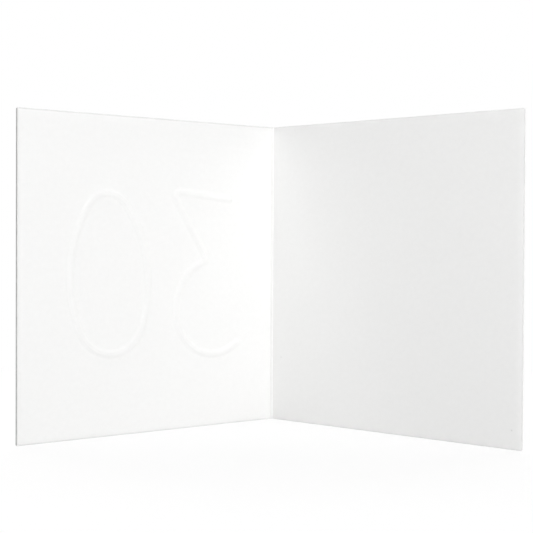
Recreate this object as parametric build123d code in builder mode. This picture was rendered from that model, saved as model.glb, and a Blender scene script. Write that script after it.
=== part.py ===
"""Greeting card of heavy white board, folded once and standing open on its lower edges.

Millimetres and degrees, +Z up. The fold runs up the middle of the back and the two panels
open towards -Y, mirror images across the YZ plane. The front cover is the panel at -X. Its
figures 3 and 0 are pressed in from outside, so they read the right way round from the
outside and stand up as a mirrored ridge on the inside. The origin is on the ground, in the
middle of the box around the card.
"""
from build123d import *

import os
from math import atan2, cos, degrees, radians, sin, sqrt, tan

# Sheet and fold
panel_width = 150.0  # from the fold to the free edge, measured on the inside
card_height = 150.0
board = 1.0  # thickness of the sheet
opening_angle = 95.7  # between the inner faces of the two panels
corner_radius = 0.5  # softened free corners of both panels

# Crease: the board is rounded outside the fold and squeezed up into a bead inside it
spine_radius = 2.0
bead_width = 1.3
bead_rise = 0.25
valley_radius = 0.15  # each side of the bead, where it leaves the panel

# Pressed strokes of the figures: a raised ridge inside, a groove of the same depth outside
stroke_foot = 4.2  # width of the ridge where its slopes leave the inside of the cover
stroke_crown = 1.4  # width of its flat crown
stroke_rise = 0.55
press_radius = 0.8  # hollow side of every bend that the press puts in the board
bend_room = 0.5  # radius left at the foot of the ridge, inside a stroke's tightest bend

# Figures, laid out from the middle of the front cover seen from outside, on stroke centrelines
figure_lift = 0.9  # middle of both figures above the middle of the cover
three_shift = -36.5  # middle of the bowl from the middle of the cover
three_bowl_radius = 23.3
three_bowl_lift = -17.1  # middle of the bowl from the middle of the figures
three_bowl_start = 82.0  # where the stem meets the bowl
three_bowl_sweep = 210.5
three_corner_reach = 26.2  # corner of bar and stem, before its bend, from the middle of the bowl
three_corner_rise = 57.0
three_bar_length = 36.3
three_bar_tilt = 5.2
zero_shift = 25.4
zero_height = 75.2
zero_lean = 2.5  # top to the right, seen from outside
zero_lower_radius = 18.7
zero_upper_radius = 13.4
zero_side_radius = 60.3

# Directions of the fold's two panels, as seen from above
half_angle = radians(opening_angle / 2)
along_x, along_y = sin(half_angle), -cos(half_angle)  # from the fold along the right panel
outward_x, outward_y = cos(half_angle), sin(half_angle)  # out of the right panel's outer face

# The fold's inner corner, set back so that the origin is in the middle of the box
spine_corner = board / outward_y
spine_back = spine_corner - spine_radius * (1 / outward_y - 1)
fold_y = (panel_width * -along_y - spine_back) / 2

# Outer face of the front cover: local X from the fold to the free edge, local Y up
cover_face = Plane(
    origin=(-board * outward_x, fold_y + board * outward_y, 0),
    x_dir=(-along_x, along_y, 0),
    z_dir=(-outward_x, outward_y, 0),
)

# The strokes are drawn on the inner face. The board keeps its thickness where it is pressed, so
# the groove is the ridge moved in by one thickness, and its bends are rounded to match.
inner_face = cover_face.offset(-board)
inward = -cover_face.z_dir
half_foot, half_crown = stroke_foot / 2, stroke_crown / 2
slope_turn = atan2(stroke_rise, half_foot - half_crown)
narrowing = board * tan(slope_turn / 2)
outer_bend = press_radius + board


def three_stroke():
    """Figure 3 in one stroke: a bar, a slanted stem and a round bowl, with rounded corners."""
    middle_x = panel_width / 2 + three_shift
    middle_y = card_height / 2 + figure_lift + three_bowl_lift
    start, tilt = radians(three_bowl_start), radians(three_bar_tilt)
    waist = (middle_x + three_bowl_radius * cos(start), middle_y + three_bowl_radius * sin(start))
    corner = (middle_x + three_corner_reach, middle_y + three_corner_rise)
    bar_end = (corner[0] - three_bar_length * cos(tilt), corner[1] - three_bar_length * sin(tilt))
    with BuildLine(inner_face) as figure:
        Line(bar_end, corner)
        Line(corner, waist)
        CenterArc((middle_x, middle_y), three_bowl_radius, three_bowl_start, -three_bowl_sweep)
        fillet(figure.vertices(), half_foot + bend_room)
    return figure.wires()[0]


def zero_stroke():
    """Closed egg of the figure 0: two end arcs joined by tangent side arcs, all leaning a little."""
    middle = Pos(panel_width / 2 + zero_shift, card_height / 2 + figure_lift)
    low_y = zero_lower_radius - zero_height / 2
    rise = zero_height - zero_lower_radius - zero_upper_radius
    to_low = zero_side_radius - zero_lower_radius
    to_high = zero_side_radius - zero_upper_radius
    side_y = (to_low**2 - to_high**2 + rise**2) / (2 * rise)
    side_x = sqrt(to_low**2 - side_y**2)
    low_turn = degrees(atan2(-side_y, side_x))
    high_turn = degrees(atan2(rise - side_y, side_x))
    side_sweep = high_turn - low_turn
    with BuildLine(inner_face * middle * Rot(Z=-zero_lean)) as egg:
        CenterArc((0, low_y), zero_lower_radius, 180 - low_turn, 180 + 2 * low_turn)
        CenterArc((-side_x, low_y + side_y), zero_side_radius, low_turn, side_sweep)
        CenterArc((0, low_y + rise), zero_upper_radius, high_turn, 180 - 2 * high_turn)
        CenterArc((side_x, low_y + side_y), zero_side_radius, 180 - high_turn, side_sweep)
    return egg.wires()[0]


def square_to(point, direction):
    """Plane square to a stroke, with its local Y pointing into the space between the panels."""
    return Plane(origin=point, x_dir=inward.cross(direction), z_dir=direction)


def half_section(foot, crown, foot_level, crown_level, base_level, radius):
    """Right half of a stroke's section: a slope from foot to crown, on a straight base."""
    with BuildSketch() as half:
        with BuildLine():
            Polyline((0, base_level), (foot, base_level), (foot, foot_level), (crown, crown_level))
            Polyline((crown, crown_level), (0, crown_level), (0, base_level))
        make_face()
        fillet(half.vertices().sort_by_distance((crown, crown_level))[0], radius)
    return half.sketch


def pressed_strokes(half):
    """Both strokes with the given half section, and half-round ends on the open one."""
    three, zero = three_stroke(), zero_stroke()
    ends = ((three @ 0, -(three % 0)), (three @ 1, three % 1))
    with BuildPart() as strokes:
        for path in (three, zero):
            with BuildSketch(square_to(path @ 0, path % 0)):
                add(half)
                mirror(about=Plane.YZ)
            sweep(path=path)
        for point, direction in ends:
            with BuildSketch(square_to(point, direction)):
                add(half)
            revolve(axis=Axis(point, -inward), revolution_arc=180)
    return strokes.part


def cover_flats():
    """Flat faces of the front cover, by plane: ridge crowns, inside, groove floors, outside."""
    through_cover = Axis(cover_face.origin, cover_face.z_dir)
    return folded_card.faces().filter_by(cover_face).group_by(through_cover)


def figure_edges(flats):
    """Edges of the figures in one plane of the cover: its holes, and the island in the 0."""
    *islands, cover = flats.sort_by(SortBy.AREA)
    loops = cover.inner_wires() + [island.outer_wire() for island in islands]
    return [edge for loop in loops for edge in loop.edges()]


# The ridge stands on the middle of the board, and the groove's tool starts outside the cover
half_board = board / 2
ridge = half_section(half_foot, half_crown, 0, stroke_rise, -half_board, outer_bend)
groove = half_section(
    half_foot - narrowing,
    half_crown - narrowing,
    -board,
    stroke_rise - board,
    -board - half_board,
    press_radius,
)

# Folded sheet with its crease and pressed figures
tip_x, tip_y = panel_width * along_x, fold_y + panel_width * along_y
edge_x, edge_y = tip_x + board * outward_x, tip_y + board * outward_y
foot_x = bead_width / 2
foot_y = fold_y - foot_x / tan(half_angle)
crown_y = foot_y - bead_rise
with BuildPart() as folded_card:
    with BuildSketch() as section:
        with BuildLine():
            ThreePointArc((-foot_x, foot_y), (0, crown_y), (foot_x, foot_y))
            Polyline((foot_x, foot_y), (tip_x, tip_y), (edge_x, edge_y), (0, fold_y + spine_corner))
            Polyline((-foot_x, foot_y), (-tip_x, tip_y), (-edge_x, edge_y), (0, fold_y + spine_corner))
        make_face()
        fillet(section.vertices().sort_by(Axis.Y)[-1], spine_radius)
        fillet(section.vertices().sort_by_distance((0, crown_y))[:2], valley_radius)
    extrude(amount=card_height)
    free_ends = folded_card.faces().sort_by(Axis.X)
    for free_end in (free_ends[0], free_ends[-1]):
        fillet(free_end.edges().sort_by(SortBy.LENGTH)[:2], corner_radius)
    add(pressed_strokes(ridge))
    add(pressed_strokes(groove), mode=Mode.SUBTRACT)
    fillet(figure_edges(cover_flats()[1]), press_radius)
    fillet(figure_edges(cover_flats()[-1]), outer_bend)

folded_card.part.label = "folded_card"

os.makedirs("parts", exist_ok=True)
export_step(folded_card.part, "parts/folded_card.step")
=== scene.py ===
"""Looks of a greeting card of heavy white board, standing open, with pressed figures.

Metres, +Z up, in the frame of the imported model. The card is one sheet, so a place on it is
given as along, up and deep: along runs from the fold to the free edges and is negative on the
front cover, up is the height, and deep runs from 0 on the inside to the board's thickness on
the outside. A place along and up is one complex number, and so is a place seen from above.
"""

from math import atan2, cos, pi, radians, sin, sqrt, tan

import bpy
import numpy as np
from mathutils import Matrix, Vector
from mathutils.geometry import delaunay_2d_cdt


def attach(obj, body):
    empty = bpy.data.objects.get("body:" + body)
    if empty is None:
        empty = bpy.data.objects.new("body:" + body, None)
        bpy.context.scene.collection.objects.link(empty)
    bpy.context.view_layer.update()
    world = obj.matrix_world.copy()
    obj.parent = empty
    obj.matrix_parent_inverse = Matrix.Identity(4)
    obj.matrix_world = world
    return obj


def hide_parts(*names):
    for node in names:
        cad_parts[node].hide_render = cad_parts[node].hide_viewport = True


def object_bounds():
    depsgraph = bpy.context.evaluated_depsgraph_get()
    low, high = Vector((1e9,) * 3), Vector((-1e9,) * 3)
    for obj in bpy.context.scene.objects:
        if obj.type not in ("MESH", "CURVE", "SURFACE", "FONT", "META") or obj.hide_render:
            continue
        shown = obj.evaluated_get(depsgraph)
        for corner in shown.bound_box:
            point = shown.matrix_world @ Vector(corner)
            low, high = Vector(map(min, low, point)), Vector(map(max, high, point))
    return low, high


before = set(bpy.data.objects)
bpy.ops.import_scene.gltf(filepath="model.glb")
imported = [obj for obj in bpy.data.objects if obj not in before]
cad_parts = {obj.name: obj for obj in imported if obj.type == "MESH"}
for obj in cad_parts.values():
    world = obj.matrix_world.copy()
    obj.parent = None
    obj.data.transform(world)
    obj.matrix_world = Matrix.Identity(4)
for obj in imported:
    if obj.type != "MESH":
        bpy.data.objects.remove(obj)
cad_low, cad_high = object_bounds()

MM = 0.001

# Sheet and fold
BOARD = 1.0 * MM
HALF_ANGLE = radians(95.7) / 2  # between a panel and the middle of the opening
CORNER_RADIUS = 0.5 * MM
EDGE_SOFTNESS = 0.06 * MM  # worn corner along every cut edge
SPINE_RADIUS = 2.0 * MM
BEAD_WIDTH = 1.3 * MM
BEAD_RISE = 0.25 * MM
VALLEY_RADIUS = 0.15 * MM
FOLD_REACH = 1.4 * MM  # the crease's finer mesh ends here, on both panels

HEIGHT = cad_high.z
PANEL = (cad_high.x - BOARD * cos(HALF_ANGLE)) / sin(HALF_ANGLE)
FOLD_Y = cad_low.y + PANEL * cos(HALF_ANGLE)

# Directions at the right panel, seen from above
PANEL_WAY = sin(HALF_ANGLE) - 1j * cos(HALF_ANGLE)  # from the fold to the free edge
OUTWARD = cos(HALF_ANGLE) + 1j * sin(HALF_ANGLE)

# Pressed strokes
HALF_FOOT = 4.2 * MM / 2
HALF_CROWN = 1.4 * MM / 2
STROKE_RISE = 0.55 * MM
PRESS_RADIUS = 0.8 * MM  # hollow side of every bend that the press puts in the board
BEND_ROOM = 0.5 * MM  # radius left at the ridge's foot, inside a stroke's tightest bend
SLOPE = atan2(STROKE_RISE, HALF_FOOT - HALF_CROWN)
NARROWING = BOARD * tan(SLOPE / 2)
OUTER_BEND = PRESS_RADIUS + BOARD

# Figures, from the middle of the front cover, with the fold on the left
FIGURE_LIFT = 0.9 * MM
THREE_SHIFT = -36.5 * MM
BOWL_RADIUS = 23.3 * MM
BOWL_LIFT = -17.1 * MM
BOWL_START = radians(82.0)
BOWL_SWEEP = radians(210.5)
CORNER_REACH = 26.2 * MM
CORNER_RISE = 57.0 * MM
BAR_LENGTH = 36.3 * MM
BAR_TILT = radians(5.2)
ZERO_SHIFT = 25.4 * MM
ZERO_HEIGHT = 75.2 * MM
ZERO_LEAN = radians(2.5)
ZERO_LOWER_RADIUS = 18.7 * MM
ZERO_UPPER_RADIUS = 13.4 * MM
ZERO_SIDE_RADIUS = 60.3 * MM

# Mesh
STROKE_STEP = 0.9 * MM
TURN_STEP = radians(9.0)
STROKE_RINGS = 17
VALLEY_POINTS = 5
BEAD_POINTS = 6  # on half of the bead
OPEN_STEP = 4.0 * MM
EDGE_STEP = 2.5 * MM
CORNER_STEPS = 6
CUT_ROWS = 4
SHARP_ANGLE = radians(30.0)
WHOLE_HULL = 0  # Blender's number for a triangulation that fills the whole outline
LAYOUT_TOLERANCE = 1e-6  # in millimetres


def angle(number):
    """Direction of a complex number."""
    return atan2(number.imag, number.real)


def turn(first, second):
    """Signed angle from one heading to another."""
    return angle(second / first)


def dot(step, way):
    """How far a step goes in a direction."""
    return step.real * way.real + step.imag * way.imag


def straight(start, end):
    """Points and headings of a straight stretch, without its last point."""
    count = max(2, round(abs(end - start) / STROKE_STEP))
    share = np.arange(count) / count
    heading = (end - start) / abs(end - start)
    return np.stack([start + (end - start) * share, np.full(count, heading)])


def bend(middle, radius, start, sweep):
    """Points and headings of a round stretch, without its last point."""
    count = max(2, round(abs(sweep) * radius / STROKE_STEP), round(abs(sweep) / TURN_STEP))
    spokes = np.exp(1j * (start + sweep * np.arange(count) / count))
    return np.stack([middle + radius * spokes, 1j * np.sign(sweep) * spokes])


def three_stroke():
    """Centreline of the 3: a bar, a slanted stem and a round bowl, with rounded corners."""
    middle = PANEL / 2 + THREE_SHIFT + 1j * (HEIGHT / 2 + FIGURE_LIFT + BOWL_LIFT)
    corner = middle + CORNER_REACH + 1j * CORNER_RISE
    waist = middle + BOWL_RADIUS * np.exp(1j * BOWL_START)
    along_bar = np.exp(1j * BAR_TILT)
    down_stem = (waist - corner) / abs(waist - corner)
    radius = HALF_FOOT + BEND_ROOM

    corner_turn = turn(along_bar, down_stem)
    corner_room = radius * tan(abs(corner_turn) / 2)
    corner_middle = corner - along_bar * corner_room - 1j * along_bar * radius

    # The bend at the waist lies between the stem and the bowl, and touches both
    beside = 1j * down_stem
    aside = radius - dot(middle - corner, beside)
    back = sqrt((BOWL_RADIUS + radius) ** 2 - aside**2)
    waist_middle = middle - down_stem * back + beside * aside
    bowl_begin = angle(waist_middle - middle)
    bowl_end = BOWL_START - BOWL_SWEEP
    waist_start = angle(-beside)
    waist_turn = (angle(middle - waist_middle) - waist_start) % (2 * pi)

    runs = [
        straight(corner - along_bar * BAR_LENGTH, corner - along_bar * corner_room),
        bend(corner_middle, radius, angle(1j * along_bar), corner_turn),
        straight(corner + down_stem * corner_room, waist_middle - beside * radius),
        bend(waist_middle, radius, waist_start, waist_turn),
        bend(middle, BOWL_RADIUS, bowl_begin, bowl_end - bowl_begin),
    ]
    end = np.exp(1j * bowl_end)
    return np.concatenate([*runs, [[middle + BOWL_RADIUS * end], [-1j * end]]], axis=1)


def zero_stroke():
    """Centreline of the 0: two end arcs joined by tangent side arcs, all leaning a little."""
    middle = PANEL / 2 + ZERO_SHIFT + 1j * (HEIGHT / 2 + FIGURE_LIFT)
    low = 1j * (ZERO_LOWER_RADIUS - ZERO_HEIGHT / 2)
    rise = ZERO_HEIGHT - ZERO_LOWER_RADIUS - ZERO_UPPER_RADIUS
    to_low = ZERO_SIDE_RADIUS - ZERO_LOWER_RADIUS
    to_high = ZERO_SIDE_RADIUS - ZERO_UPPER_RADIUS
    side_up = (to_low**2 - to_high**2 + rise**2) / (2 * rise)
    side = sqrt(to_low**2 - side_up**2) + 1j * side_up
    low_turn = atan2(-side.imag, side.real)
    high_turn = atan2(rise - side.imag, side.real)
    sweep = high_turn - low_turn
    points, headings = np.exp(-1j * ZERO_LEAN) * np.concatenate([
        bend(low - side.conjugate(), ZERO_SIDE_RADIUS, low_turn, sweep),
        bend(low + 1j * rise, ZERO_UPPER_RADIUS, high_turn, pi - 2 * high_turn),
        bend(low + side, ZERO_SIDE_RADIUS, pi - high_turn, sweep),
        bend(low, ZERO_LOWER_RADIUS, pi - low_turn, pi + 2 * low_turn),
    ], axis=1)
    return np.stack([middle + points, headings])


def rounded_step(distance, half_foot, half_crown, foot_radius, crown_radius):
    """Height of a stroke's section at a distance from its centreline, and 0 beyond its foot."""
    foot_room = foot_radius * tan(SLOPE / 2)
    crown_room = crown_radius * tan(SLOPE / 2)
    slope = (half_foot - distance) * tan(SLOPE)
    from_foot = np.clip(half_foot + foot_room - distance, 0, foot_radius)
    from_crown = np.clip(distance - half_crown + crown_room, 0, crown_radius)
    foot = foot_radius - np.sqrt(foot_radius**2 - from_foot**2)
    crown = STROKE_RISE - crown_radius + np.sqrt(crown_radius**2 - from_crown**2)
    height = np.where(distance > half_foot - foot_room * cos(SLOPE), foot, slope)
    return np.where(distance < half_crown + crown_room * cos(SLOPE), crown, height)


def closed_edges(first, count):
    """Index pairs of a closed loop of points."""
    ring = np.arange(count)
    return np.stack([first + ring, first + (ring + 1) % count], axis=1)


def stroke_rings(stroke, closed):
    """Loops at even distances from a centreline, each with its distance."""
    middle, heading = stroke
    nearest = HALF_CROWN - OUTER_BEND * tan(SLOPE / 2)
    farthest = HALF_FOOT + PRESS_RADIUS * tan(SLOPE / 2)
    for distance in np.linspace(nearest, farthest, STROKE_RINGS):
        left, right = middle + 1j * heading * distance, middle - 1j * heading * distance
        if closed:
            yield left, distance
            yield right, distance
            continue
        cap = np.exp(1j * pi * np.arange(1, CORNER_STEPS * 2) / (CORNER_STEPS * 2))
        end_cap = middle[-1] - 1j * heading[-1] * distance * cap
        start_cap = middle[0] + 1j * heading[0] * distance * cap
        yield np.concatenate([right, end_cap, left[::-1], start_cap]), distance


def with_mirror_image(half):
    """Whole plan of one side of the crease, from its right half."""
    return np.concatenate([-half.conjugate(), half[-2::-1]])


def fold_profile():
    """Plan of the crease: its inner and its outer side, with as many points each."""
    corner = 1j * FOLD_Y
    panel_start = corner + FOLD_REACH * PANEL_WAY

    # The bead is an arc over its two feet, and each valley is a small arc touching it and a panel
    foot_x = BEAD_WIDTH / 2
    foot_y = FOLD_Y - foot_x / tan(HALF_ANGLE)
    bead_radius = (foot_x**2 + BEAD_RISE**2) / (2 * BEAD_RISE)
    bead_middle = 1j * (foot_y - BEAD_RISE + bead_radius)
    lift = dot(bead_middle - corner, OUTWARD) + VALLEY_RADIUS
    ahead = sqrt((bead_radius + VALLEY_RADIUS) ** 2 - lift**2)
    valley_middle = bead_middle + ahead * PANEL_WAY - lift * OUTWARD
    valley_turns = np.linspace(angle(OUTWARD), angle(bead_middle - valley_middle), VALLEY_POINTS)
    valley = valley_middle + VALLEY_RADIUS * np.exp(1j * valley_turns)
    bead_turns = np.linspace(angle(valley[-1] - bead_middle), -pi / 2, BEAD_POINTS)
    bead = bead_middle + bead_radius * np.exp(1j * bead_turns)
    inner = np.concatenate([[panel_start], valley, bead[1:]])

    spine_middle = corner + 1j * (BOARD - SPINE_RADIUS) / sin(HALF_ANGLE)
    spine_turns = np.linspace(angle(OUTWARD), pi / 2, len(inner) - 1)
    spine = spine_middle + SPINE_RADIUS * np.exp(1j * spine_turns)
    outer = np.concatenate([[panel_start + BOARD * OUTWARD], spine])
    return with_mirror_image(inner), with_mirror_image(outer)


INNER_FOLD, OUTER_FOLD = fold_profile()
FOLD_COLUMNS = np.linspace(-FOLD_REACH, FOLD_REACH, len(INNER_FOLD))


def place(sheet, deep):
    """Points of the sheet in the frame."""
    along = sheet.real
    on_back = along > 0
    panel_way = np.where(on_back, PANEL_WAY, -PANEL_WAY.conjugate())
    outward = np.where(on_back, OUTWARD, -OUTWARD.conjugate())
    inner = 1j * FOLD_Y + abs(along) * panel_way
    outer = inner + BOARD * outward
    folded = abs(along) < FOLD_REACH
    inner[folded] = np.interp(along[folded], FOLD_COLUMNS, INNER_FOLD)
    outer[folded] = np.interp(along[folded], FOLD_COLUMNS, OUTER_FOLD)
    plan = inner + (outer - inner) * deep / BOARD
    return np.stack([plan.real, plan.imag, sheet.imag], axis=1)


def outline(inset):
    """The sheet's edge, run round once, moved in by an inset."""
    bottom, top, end = CORNER_RADIUS, HEIGHT - CORNER_RADIUS, PANEL - CORNER_RADIUS
    right_run = np.linspace(FOLD_REACH, end, round(PANEL / EDGE_STEP))[1:]
    across = np.concatenate([-right_run[::-1], FOLD_COLUMNS, right_run])
    upright = np.linspace(bottom, top, round(HEIGHT / EDGE_STEP))
    turns = pi / 2 * np.arange(1, CORNER_STEPS) / CORNER_STEPS
    quarter = (CORNER_RADIUS - inset) * np.exp(1j * turns)
    return np.concatenate([
        across + 1j * inset,
        end + 1j * bottom - 1j * quarter,
        PANEL - inset + 1j * upright,
        end + 1j * top + quarter,
        across[::-1] + 1j * (HEIGHT - inset),
        -end + 1j * top + 1j * quarter,
        -PANEL + inset + 1j * upright[::-1],
        -end + 1j * bottom - quarter,
    ])


def sheet_mesh():
    """Flat layout of one face of the sheet: points, distances from the strokes, triangles."""
    strokes = [(three_stroke(), False), (zero_stroke(), True)]
    rim = outline(EDGE_SOFTNESS)
    points, distances, edges = [rim], [np.full(len(rim), np.inf)], [closed_edges(0, len(rim))]
    first = len(rim)
    for stroke, closed in strokes:
        for ring, distance in stroke_rings(stroke, closed):
            # The figures are drawn with the fold on the left, and along is negative here
            points.append(-ring.conjugate())
            distances.append(np.full(len(ring), distance))
            edges.append(closed_edges(first, len(ring)))
            first += len(ring)

    rows = np.linspace(0, HEIGHT, round(HEIGHT / EDGE_STEP) + 1)[1:-1]
    fold = (FOLD_COLUMNS[None, :] + 1j * rows[:, None]).ravel()

    # A grid of even triangles fills the rest, clear of the strokes, the free ends and the fold
    across = np.arange(-PANEL, PANEL, OPEN_STEP)
    up = np.arange(OPEN_STEP / 2, HEIGHT - OPEN_STEP / 4, OPEN_STEP * sqrt(3) / 2)
    row_starts = OPEN_STEP / 2 * (np.arange(len(up)) % 2) + 1j * up
    grid = (across[None, :] + row_starts[:, None]).ravel()
    lines = -np.concatenate([stroke[0] for stroke, closed in strokes]).conjugate()
    off_strokes = abs(grid[:, None] - lines[None, :]).min(axis=1) > HALF_FOOT + OPEN_STEP / 2
    off_ends = abs(grid.real) < PANEL - OPEN_STEP / 3
    off_fold = abs(grid.real) > FOLD_REACH + OPEN_STEP / 3
    flat = np.concatenate([fold, grid[off_strokes & off_ends & off_fold]])

    points = np.concatenate([*points, flat])
    distances = np.concatenate([*distances, np.full(len(flat), np.inf)])
    given = [Vector((p.real / MM, p.imag / MM)) for p in points]
    edges = np.concatenate(edges).tolist()
    made = delaunay_2d_cdt(given, edges, [], WHOLE_HULL, LAYOUT_TOLERANCE, False)
    if len(made[0]) != len(points):
        raise ValueError("the layout's triangulation moved or joined points")
    return points, distances, made[2]


def card():
    """The whole card as one closed mesh."""
    sheet, distances, triangles = sheet_mesh()
    half_foot, half_crown = HALF_FOOT - NARROWING, HALF_CROWN - NARROWING
    ridge = rounded_step(distances, HALF_FOOT, HALF_CROWN, PRESS_RADIUS, OUTER_BEND)
    groove = rounded_step(distances, half_foot, half_crown, OUTER_BEND, PRESS_RADIUS)

    # Rows of points round the cut edge, from the inside to the outside, with worn corners
    half_soft = EDGE_SOFTNESS * (1 - sqrt(0.5))
    rows = [(half_soft, half_soft)]
    rows += [(0, deep) for deep in np.linspace(EDGE_SOFTNESS, BOARD - EDGE_SOFTNESS, CUT_ROWS + 1)]
    rows += [(half_soft, BOARD - half_soft)]
    edges = [outline(inset) for inset, deep in rows]
    rim_count = len(edges[0])
    sheets = [sheet, *edges, sheet]
    depths = [-ridge, *(np.full(rim_count, deep) for inset, deep in rows), BOARD - groove]
    starts = np.cumsum([0, *(len(part) for part in sheets[:-1])]).tolist()

    faces = [list(triangle) for triangle in triangles]
    faces += [[starts[-1] + i for i in reversed(triangle)] for triangle in triangles]
    for near, far in zip(starts, starts[1:]):
        for i in range(rim_count):
            j = (i + 1) % rim_count
            faces.append([near + j, near + i, far + i, far + j])

    sheet, deep = np.concatenate(sheets), np.concatenate(depths)
    mesh = bpy.data.meshes.new("card")
    mesh.from_pydata(place(sheet, deep).tolist(), [], faces)
    coordinates = mesh.attributes.new("sheet", "FLOAT_VECTOR", "POINT")
    coordinates.data.foreach_set("vector", np.stack([sheet.real, sheet.imag, deep], axis=1).ravel())
    mesh.shade_smooth()
    mesh.set_sharp_from_angle(angle=SHARP_ANGLE)
    mesh.validate()
    piece = bpy.data.objects.new("card", mesh)
    bpy.context.scene.collection.objects.link(piece)
    return piece


# Board finish
PAPER = (0.9, 0.9, 0.895)
SPECULAR = 0.35
DIFFUSE_ROUGHNESS = 0.4
ROUGHNESS = (0.72, 0.86)  # between the fibres and on them
PRESSED_SMOOTHNESS = 0.12  # taken off the roughness where the board is pressed
PRESSED_FROM = 0.15  # share of the strokes' rise at which that begins

# Noise in the board: its sizes along, up and deep, and its finer detail
FIBRES = {"sizes": (2.2 * MM, 0.16 * MM, 0.64 * MM), "detail": 2.0}
FIBRE_WAYS = (radians(8), radians(67), radians(124))  # lie of three crossing layers of fibres
CLOUDS = {"sizes": (2.4 * MM, 2.4 * MM, 2.4 * MM), "detail": 3.0}  # soft clouds in the pulp
FELT = {"sizes": (14.0 * MM, 14.0 * MM, 14.0 * MM), "detail": 1.0}  # left by the papermaker's felt
PLIES = {"sizes": (6.6 * MM, 6.6 * MM, 0.22 * MM), "detail": 2.0}  # they show in the cut edge
NOISE_RANGE = (0.2, 0.8)  # nearly all noise lies in it
PATCH_RANGE = (0.3, 0.7)

FIBRE_HEIGHT = 0.010 * MM
CLOUD_HEIGHT = 0.016 * MM
FELT_HEIGHT = 0.05 * MM
PLY_HEIGHT = 0.05 * MM
FIBRE_TINT = 0.02  # how much lighter and darker than the paper
CLOUD_TINT = 0.008

# Marks and painted shade, and how much darker than the paper they are
EDGE_BAND_REACH = 0.9 * MM  # a darker band along the cut edges
COVER_EDGE_BAND = 0.15
BACK_EDGE_BAND = 0.06
EDGE_BAND_PATCHES = (0.75, 1.15)  # shares of that band's shade in its lightest and its darkest patches
PAINTED_CREASE_REACH = 0.8 * MM  # painted shade along the fold, on each side of it
PAINTED_CREASE_SHADE = 0.03
COVER_CUT_AND_PAINTED_SHADE = 0.28  # open fibres of a cut edge, and on the front cover painted shade as well
BACK_CUT_SHADE = 0.08
PLY_SHADES = (1.5, 0.5)  # shares of that shade in the darkest and the lightest plies
CORE = 3  # the painted crease shade and a fleck are at their darkest in a third of their reach
FLECKS = [  # along, up, radius, shade
    (6.7 * MM, 32.2 * MM, 0.7 * MM, 0.07),
    (46.5 * MM, 19.2 * MM, 1.1 * MM, 0.02),
    (91.5 * MM, 70.1 * MM, 0.5 * MM, 0.04),
    (144.8 * MM, 8.6 * MM, 0.6 * MM, 0.16),
]


class Graph:
    """A material's or world's nodes, added one by one with their inputs."""

    def __init__(self, owner):
        owner.use_nodes = True
        self.tree = owner.node_tree

    def add(self, kind, inputs, output=0, **settings):
        """A new node with its inputs linked or set, as the output asked for."""
        made = self.tree.nodes.new(kind)
        for name, value in settings.items():
            setattr(made, name, value)
        for name, value in inputs.items():
            if isinstance(value, bpy.types.NodeSocket):
                self.tree.links.new(value, made.inputs[name])
            else:
                made.inputs[name].default_value = value
        return made.outputs[output] if made.outputs else None

    def math(self, operation, *values):
        return self.add("ShaderNodeMath", dict(enumerate(values)), operation=operation)

    def total(self, value, *others):
        """All the values added up."""
        for other in others:
            value = self.math("ADD", value, other)
        return value

    def ramp(self, value, start, end, low=0.0, high=1.0):
        """A smooth change from low to high, as a value runs from start to end."""
        inputs = {"Value": value, "From Min": start, "From Max": end, "To Min": low, "To Max": high}
        return self.add("ShaderNodeMapRange", inputs, interpolation_type="SMOOTHSTEP")

    def noise(self, point, sizes, detail, turned=0.0):
        """Even noise about 0.5, with features of the given sizes, turned about the upright axis."""
        turned_point = self.add("ShaderNodeVectorRotate", {"Vector": point, "Angle": turned})
        scale = tuple(1 / size for size in sizes)
        scaled = self.add("ShaderNodeVectorMath", {0: turned_point, 1: scale}, operation="MULTIPLY")
        return self.add("ShaderNodeTexNoise", {"Vector": scaled, "Scale": 1.0, "Detail": detail})


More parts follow.
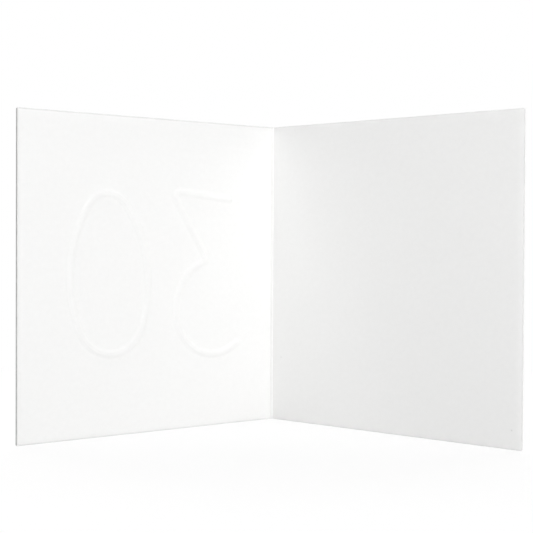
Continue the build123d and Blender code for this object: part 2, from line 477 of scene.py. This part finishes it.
def board_material():
    """Heavy uncoated board: fibres, clouded pulp, a darker band along the edges, open cut faces, and
    painted shade along the fold and on the front cover's cut face.
    """
    material = bpy.data.materials.new("white_board")
    graph = Graph(material)
    shader = graph.tree.nodes["Principled BSDF"]
    sheet = graph.add("ShaderNodeAttribute", {}, output="Vector", attribute_name="sheet")
    along, up, deep = (graph.add("ShaderNodeSeparateXYZ", {0: sheet}, output=axis) for axis in "XYZ")

    # Distances from the fold and in from the nearest cut edge
    from_fold = graph.math("ABSOLUTE", along)
    from_end = graph.math("SUBTRACT", PANEL, from_fold)
    from_top = graph.math("SUBTRACT", HEIGHT, up)
    from_edge = graph.math("MINIMUM", from_end, graph.math("MINIMUM", up, from_top))
    on_cut = graph.ramp(from_edge, EDGE_SOFTNESS, 0)

    layers = [graph.noise(sheet, **FIBRES, turned=way) for way in FIBRE_WAYS]
    fibres = graph.math("MULTIPLY", graph.total(*layers), 1 / len(layers))
    clouds = graph.noise(sheet, **CLOUDS)
    felt = graph.noise(sheet, **FELT)
    plies = graph.noise(sheet, **PLIES)

    def cover_to_back(cover, back):
        return graph.ramp(along, -FOLD_REACH, FOLD_REACH, cover, back)

    # a darker band along the cut edges, in patches, stronger on the front cover
    edge_band_strength = graph.ramp(clouds, *PATCH_RANGE, *EDGE_BAND_PATCHES)
    edge_band = graph.ramp(from_edge, EDGE_BAND_REACH, 0, 0, edge_band_strength)
    open_fibres = graph.math("MULTIPLY", on_cut, graph.ramp(plies, *NOISE_RANGE, *PLY_SHADES))
    marks_and_painted_shade = [
        graph.math("MULTIPLY", edge_band, cover_to_back(COVER_EDGE_BAND, BACK_EDGE_BAND)),
        # cut faces are darker for their open fibres, and the front cover's is much darker with
        # painted shade
        graph.math("MULTIPLY", open_fibres, cover_to_back(COVER_CUT_AND_PAINTED_SHADE, BACK_CUT_SHADE)),
        # painted shade along the fold
        graph.ramp(from_fold, PAINTED_CREASE_REACH, PAINTED_CREASE_REACH / CORE, 0, PAINTED_CREASE_SHADE),
    ]
    for fleck_along, fleck_up, radius, shade in FLECKS:
        inputs = {0: sheet, 1: (fleck_along, fleck_up, 0)}
        away = graph.add("ShaderNodeVectorMath", inputs, output="Value", operation="DISTANCE")
        marks_and_painted_shade.append(graph.ramp(away, radius, radius / CORE, 0, shade))

    fibre_tint = graph.ramp(fibres, *NOISE_RANGE, 1 - FIBRE_TINT, 1 + FIBRE_TINT)
    cloud_tint = graph.ramp(clouds, *NOISE_RANGE, -CLOUD_TINT, CLOUD_TINT)
    tint = graph.math("SUBTRACT", graph.total(fibre_tint, cloud_tint), graph.total(*marks_and_painted_shade))
    colour = graph.add("ShaderNodeVectorMath", {0: PAPER, "Scale": tint}, operation="SCALE")
    graph.tree.links.new(colour, shader.inputs["Base Color"])

    # The press smooths the paper where it draws it out of its plane
    pressed = graph.ramp(deep, -PRESSED_FROM * STROKE_RISE, -STROKE_RISE)
    smoothness = graph.math("MULTIPLY", pressed, PRESSED_SMOOTHNESS)
    roughness = graph.math("SUBTRACT", graph.ramp(fibres, *NOISE_RANGE, *ROUGHNESS), smoothness)
    graph.tree.links.new(roughness, shader.inputs["Roughness"])
    shader.inputs["Specular IOR Level"].default_value = SPECULAR
    shader.inputs["Diffuse Roughness"].default_value = DIFFUSE_ROUGHNESS

    height = graph.total(
        graph.math("MULTIPLY", fibres, FIBRE_HEIGHT),
        graph.math("MULTIPLY", clouds, CLOUD_HEIGHT),
        graph.math("MULTIPLY", felt, FELT_HEIGHT),
        graph.math("MULTIPLY", graph.math("MULTIPLY", plies, on_cut), PLY_HEIGHT),
    )
    bump = graph.add("ShaderNodeBump", {"Height": height, "Strength": 1.0, "Distance": 1.0})
    graph.tree.links.new(bump, shader.inputs["Normal"])
    return material


# Studio
FLOOR = 0.7
FLOOR_REACH = 3.0
OPEN_FLOOR_LIGHT = 0.97  # on the floor clear of the card, where full light is 1
SHADOW_SHARE = 0.2  # how much of the floor's own shading the camera sees near the card
SHADOW_FADE = 0.12  # that share falls to none from this distance
SHADOW_END = 0.35  # to this one
AMBIENT = 0.12
SOFTBOXES = [  # name, degrees to the right of the front, degrees up, distance, size, watts
    ("right_high", 42, 50, 1.5, 1.2, 4.8),
    ("right_low", 30, 0, 0.9, 0.14, 2.85),
    ("front", 0, 20, 1.5, 1.2, 4.6),
    ("left_high", -42, 60, 0.7, 0.5, 1.8),
    ("back_right", 155, 35, 1.5, 1.2, 11.2),
    ("back_left", -155, 35, 1.5, 1.2, 11.2),
]


def grey(level):
    """A grey as a colour with full opacity."""
    return (level, level, level, 1)


def floor_material():
    """Pale floor that the camera sees as white, apart from the card's shadow on it."""
    material = bpy.data.materials.new("pale_floor")
    graph = Graph(material)
    graph.tree.nodes.clear()
    lit = graph.add("ShaderNodeBsdfDiffuse", {"Color": grey(FLOOR)})
    faint = graph.add("ShaderNodeBsdfDiffuse", {"Color": grey(SHADOW_SHARE)})
    glow = graph.add("ShaderNodeEmission", {"Strength": 1 - SHADOW_SHARE * OPEN_FLOOR_LIGHT})
    white = graph.add("ShaderNodeEmission", {"Strength": 1.0})
    near = graph.add("ShaderNodeAddShader", {0: faint, 1: glow})
    point = graph.add("ShaderNodeTexCoord", {}, output="Object")
    distance = graph.add("ShaderNodeVectorMath", {0: point}, output="Value", operation="LENGTH")
    far = graph.ramp(distance, SHADOW_FADE, SHADOW_END)
    seen = graph.add("ShaderNodeMixShader", {0: far, 1: near, 2: white})
    by_camera = graph.add("ShaderNodeLightPath", {}, output="Is Camera Ray")
    surface = graph.add("ShaderNodeMixShader", {0: by_camera, 1: lit, 2: seen})
    graph.add("ShaderNodeOutputMaterial", {"Surface": surface})
    return material


def studio_world():
    """Even ambient light, with white where the camera or a reflection looks past the floor."""
    world = bpy.data.worlds.new("studio")
    graph = Graph(world)
    graph.tree.nodes.clear()
    ambient = graph.add("ShaderNodeBackground", {"Color": grey(1), "Strength": AMBIENT})
    white = graph.add("ShaderNodeBackground", {"Color": grey(1), "Strength": 1.0})
    by_camera = graph.add("ShaderNodeLightPath", {}, output="Is Camera Ray")
    by_gloss = graph.add("ShaderNodeLightPath", {}, output="Is Glossy Ray")
    through = graph.add("ShaderNodeLightPath", {}, output="Is Transmission Ray")
    seen = graph.math("MAXIMUM", graph.math("MAXIMUM", by_camera, by_gloss), through)
    surface = graph.add("ShaderNodeMixShader", {0: seen, 1: ambient, 2: white})
    graph.add("ShaderNodeOutputWorld", {"Surface": surface})
    return world


def add_floor():
    """A wide floor under the card, which isn't part of the object."""
    near, far = -FLOOR_REACH, FLOOR_REACH
    corners = [(near, near, 0), (far, near, 0), (far, far, 0), (near, far, 0)]
    mesh = bpy.data.meshes.new("floor")
    mesh.from_pydata(corners, [], [(0, 1, 2, 3)])
    mesh.materials.append(floor_material())
    floor = bpy.data.objects.new("floor", mesh)
    bpy.context.scene.collection.objects.link(floor)


def add_softbox(name, azimuth, elevation, distance, size, power):
    """A square lamp that faces the middle of the card."""
    aim = Vector((0, 0, HEIGHT / 2))
    side, rise = radians(azimuth), radians(elevation)
    toward = Vector((sin(side) * cos(rise), -cos(side) * cos(rise), sin(rise)))
    lamp = bpy.data.objects.new(name, bpy.data.lights.new(name, "AREA"))
    lamp.data.energy = power
    lamp.data.size = size
    lamp.location = aim + toward * distance
    lamp.rotation_euler = (-toward).to_track_quat("-Z", "Y").to_euler()
    bpy.context.scene.collection.objects.link(lamp)


# Camera, as the photograph's perspective gives it
IMAGE_WIDTH = 533
FOCAL_PIXELS = 1322.5
SENSOR = 36.0
SHIFT = 0.0347  # in picture widths
YAW, PITCH, ROLL = radians(-1.937), radians(-1.014), radians(0.267)
FROM_FOLD = Vector((0.0712, -4.5445, 0.6035))  # from the fold's foot, in card heights


def add_camera():
    """The scene's camera, turned by its yaw, pitch and roll."""
    camera = bpy.data.objects.new("camera", bpy.data.cameras.new("camera"))
    camera.data.sensor_width = SENSOR
    camera.data.lens = FOCAL_PIXELS * SENSOR / IMAGE_WIDTH
    camera.data.shift_x = SHIFT
    ahead = Vector((sin(YAW) * cos(PITCH), cos(YAW) * cos(PITCH), sin(PITCH)))
    level = Vector((cos(YAW), -sin(YAW), 0))
    above = level.cross(ahead)
    right = cos(ROLL) * level + sin(ROLL) * above
    upward = cos(ROLL) * above - sin(ROLL) * level
    turned = Matrix((right, upward, -ahead)).transposed().to_4x4()
    camera.matrix_world = Matrix.Translation(FROM_FOLD * HEIGHT + Vector((0, FOLD_Y, 0))) @ turned
    bpy.context.scene.collection.objects.link(camera)
    bpy.context.scene.camera = camera


piece = card()
piece.data.materials.append(board_material())
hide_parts("folded_card")
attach(piece, "root")

add_floor()
bpy.context.scene.world = studio_world()
for softbox in SOFTBOXES:
    add_softbox(*softbox)
add_camera()
bpy.context.scene.view_settings.view_transform = "Standard"
